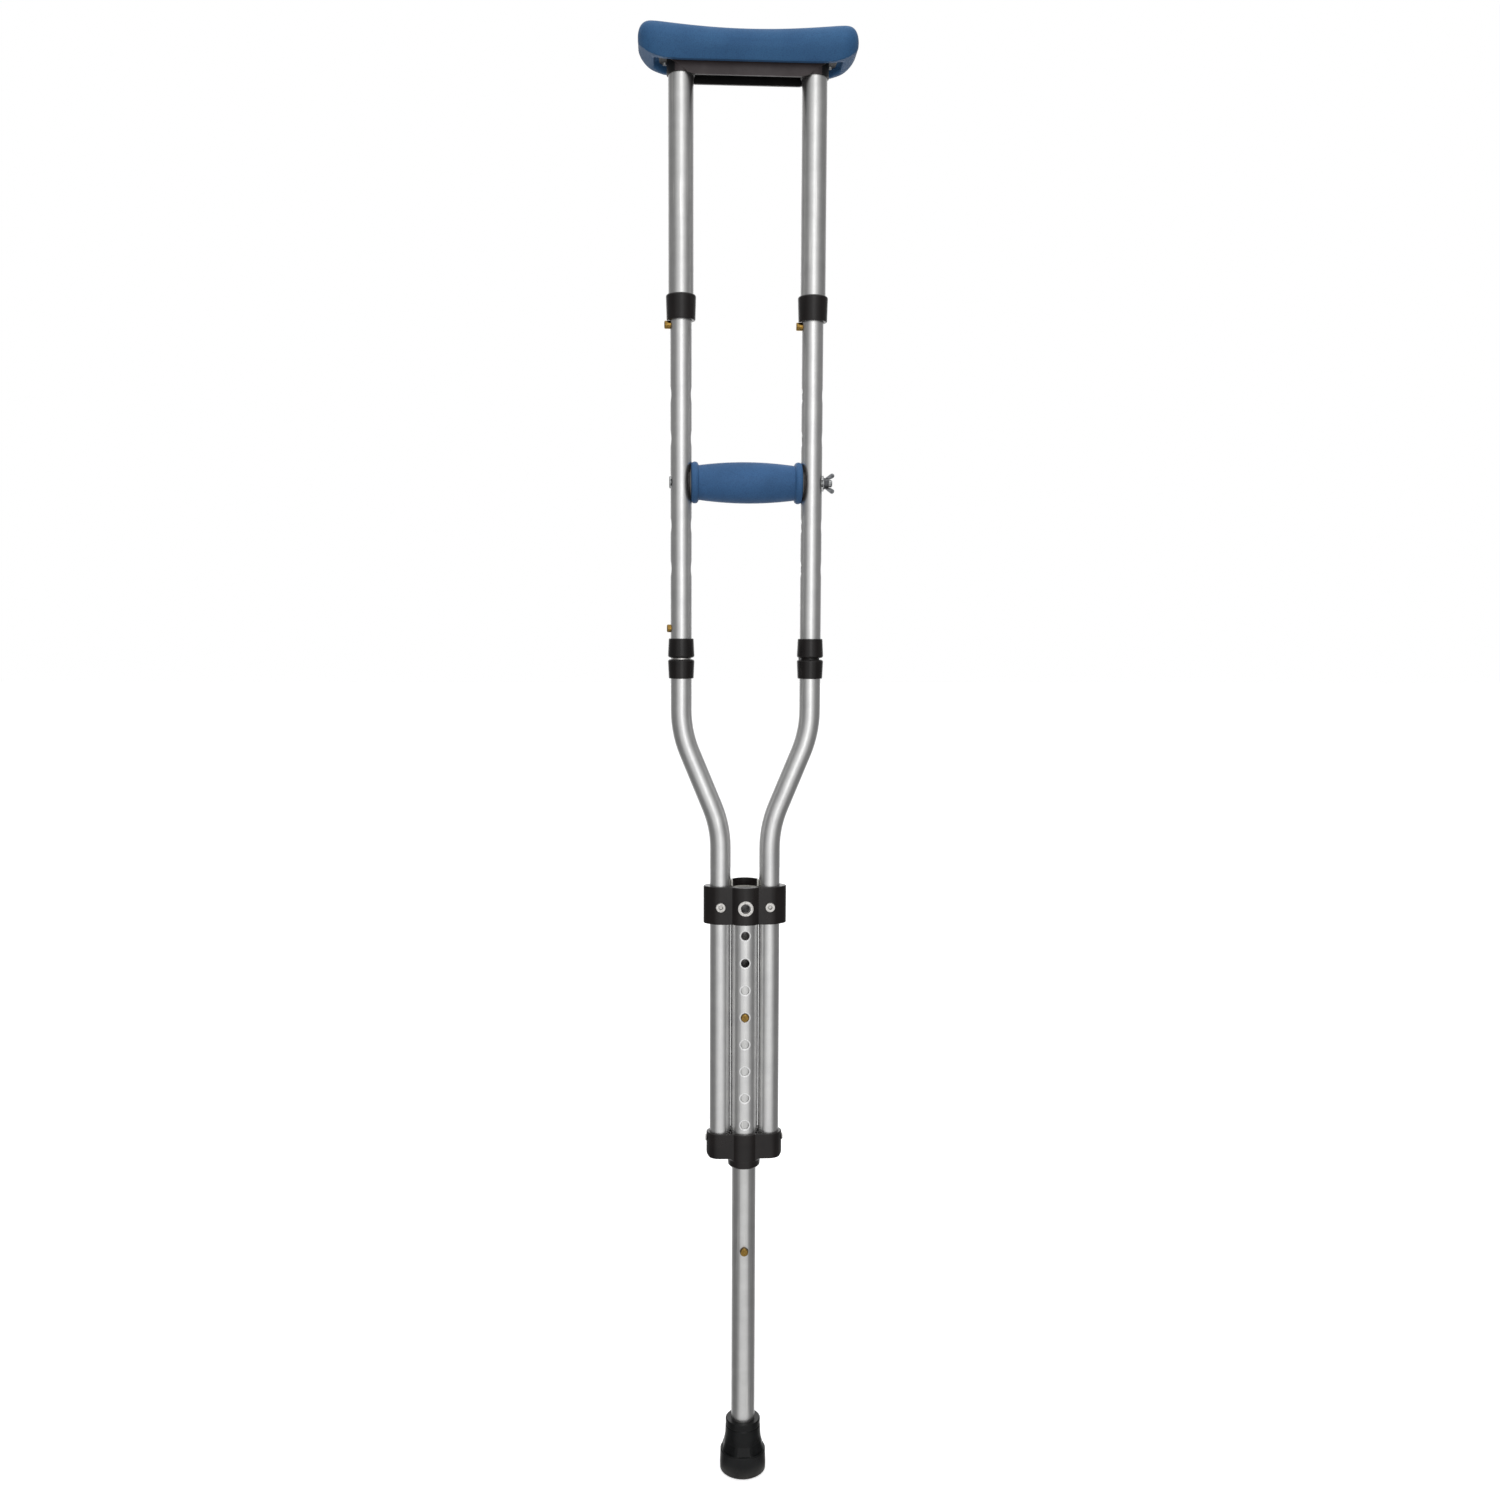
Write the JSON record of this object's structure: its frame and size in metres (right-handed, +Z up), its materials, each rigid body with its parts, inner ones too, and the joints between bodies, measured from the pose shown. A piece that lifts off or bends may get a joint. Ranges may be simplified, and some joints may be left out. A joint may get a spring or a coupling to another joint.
{
  "type": "underarm crutch",
  "caption": "Folding aluminium underarm crutch: padded saddle, bolted hand grip on two tubes, bowed frame and a push-button height-adjustable leg on a rubber tip.",
  "frame": {"origin": "centre of the rubber tip's sole, on the floor", "axes": "+Z up along the crutch, +X to the right seen from the front, -Y the front, where the leg's snap buttons are"},
  "size_m": [0.19, 0.05, 1.3135],
  "materials": {
    "satin_aluminium": "satin anodised",
    "bright_aluminium": "bright, machined",
    "black_plastic": "moulded, fine matt grain",
    "brass": "turned",
    "spring_steel": "rolled strip",
    "zinc_steel": "zinc plated",
    "blue_vinyl": "soft moulded vinyl, fine grain",
    "blue_foam": "soft moulded vinyl, fine grain",
    "black_rubber": "moulded, satin",
    "white_nylon": "moulded, natural"
  },
  "bodies": {
    "lower_frame": {"centre_tube": "satin_aluminium", "centre_guide": "white_nylon", "upper_yoke": "black_plastic", "lower_yoke": "black_plastic", "yoke_eyelet": "bright_aluminium", "yoke_rivets": "bright_aluminium", "lower_yoke_rivets": "bright_aluminium", "bow_tube_left": "satin_aluminium", "bow_tube_right": "satin_aluminium", "fold_collar_lower_left": "black_plastic", "fold_collar_lower_right": "black_plastic", "fold_plug_left": "bright_aluminium", "fold_plug_right": "black_plastic", "hinge_pin_left": "zinc_steel", "hinge_pin_right": "zinc_steel"},
    "leg": {"leg_tube": "satin_aluminium", "leg_top_bush": "black_plastic", "foot_tip": "black_rubber", "tip_washer": "zinc_steel", "leg_button_spring_upper": "spring_steel", "leg_button_spring_lower": "spring_steel"},
    "leg_button_upper": {"leg_button_upper": "brass"},
    "leg_button_lower": {"leg_button_lower": "brass"},
    "hand_frame": {"middle_tube_left": "satin_aluminium", "middle_tube_right": "satin_aluminium", "guide_bush_left": "black_plastic", "guide_bush_right": "black_plastic", "fold_collar_upper_left": "black_plastic", "fold_collar_upper_right": "black_plastic", "top_button_spring_left": "spring_steel", "top_button_spring_right": "spring_steel", "fold_latch": "spring_steel", "grip_sleeve": "blue_foam", "grip_core": "black_plastic", "grip_bolt": "zinc_steel"},
    "fold_button": {"fold_button": "brass"},
    "top_button_left": {"top_button_left": "brass"},
    "top_button_right": {"top_button_right": "brass"},
    "nut_travel": {"grip_washer": "zinc_steel"},
    "wing_nut": {"wing_nut": "zinc_steel"},
    "upper_frame": {"upper_tube_left": "satin_aluminium", "upper_tube_right": "satin_aluminium", "upper_collar_left": "black_plastic", "upper_collar_right": "black_plastic", "saddle_trough": "black_plastic", "saddle_screws": "zinc_steel", "underarm_pad": "blue_vinyl"}
  },
  "joints": [
    {"name": "leg_slide", "type": "slide", "parent": "lower_frame", "child": "leg", "axis": [0, 0, 1], "range_m": [-0.1016, 0.2286], "deforming": ["leg_button_spring_upper", "leg_button_spring_lower", "leg_button_upper", "leg_button_lower"]},
    {"name": "leg_button_upper_press", "type": "slide", "parent": "leg", "child": "leg_button_upper", "axis": [0, 1, 0], "range_m": [0, 0.0045], "stiffness_N_per_m": 900, "deforming": ["leg_button_spring_upper"]},
    {"name": "leg_button_lower_press", "type": "slide", "parent": "leg", "child": "leg_button_lower", "axis": [0, 1, 0], "range_m": [0, 0.0045], "stiffness_N_per_m": 900, "deforming": ["leg_button_spring_lower"]},
    {"name": "frame_fold", "type": "hinge", "parent": "lower_frame", "child": "hand_frame", "pos_m": [0, 0.016, 0.7711], "axis": [-1, 0, 0], "range_deg": [0, 178], "deforming": ["fold_latch"]},
    {"name": "fold_button_press", "type": "slide", "parent": "hand_frame", "child": "fold_button", "axis": [1, 0, 0], "range_m": [0, 0.0031], "stiffness_N_per_m": 900, "deforming": ["fold_latch"]},
    {"name": "upper_slide", "type": "slide", "parent": "hand_frame", "child": "upper_frame", "axis": [0, 0, 1], "range_m": [-0.11, 0], "deforming": ["top_button_left", "top_button_right", "top_button_spring_left", "top_button_spring_right"]},
    {"name": "top_button_left_press", "type": "slide", "parent": "hand_frame", "child": "top_button_left", "axis": [1, 0, 0], "range_m": [0, 0.005], "stiffness_N_per_m": 900, "deforming": ["top_button_spring_left"]},
    {"name": "top_button_right_press", "type": "slide", "parent": "hand_frame", "child": "top_button_right", "axis": [1, 0, 0], "range_m": [0, 0.005], "stiffness_N_per_m": 900, "deforming": ["top_button_spring_right"]},
    {"name": "wing_nut_turn", "type": "hinge", "parent": "nut_travel", "child": "wing_nut", "pos_m": [0.0705, 0, 0.9274], "axis": [1, 0, 0], "range_deg": [0, 900]},
    {"name": "wing_nut_travel", "type": "slide", "parent": "hand_frame", "child": "nut_travel", "axis": [1, 0, 0], "range_m": [0, 0.00328]}
  ],
  "couplings": [
    {"joint": "wing_nut_travel", "follows": "wing_nut_turn", "m_per_rad": 0.00020213}
  ]
}
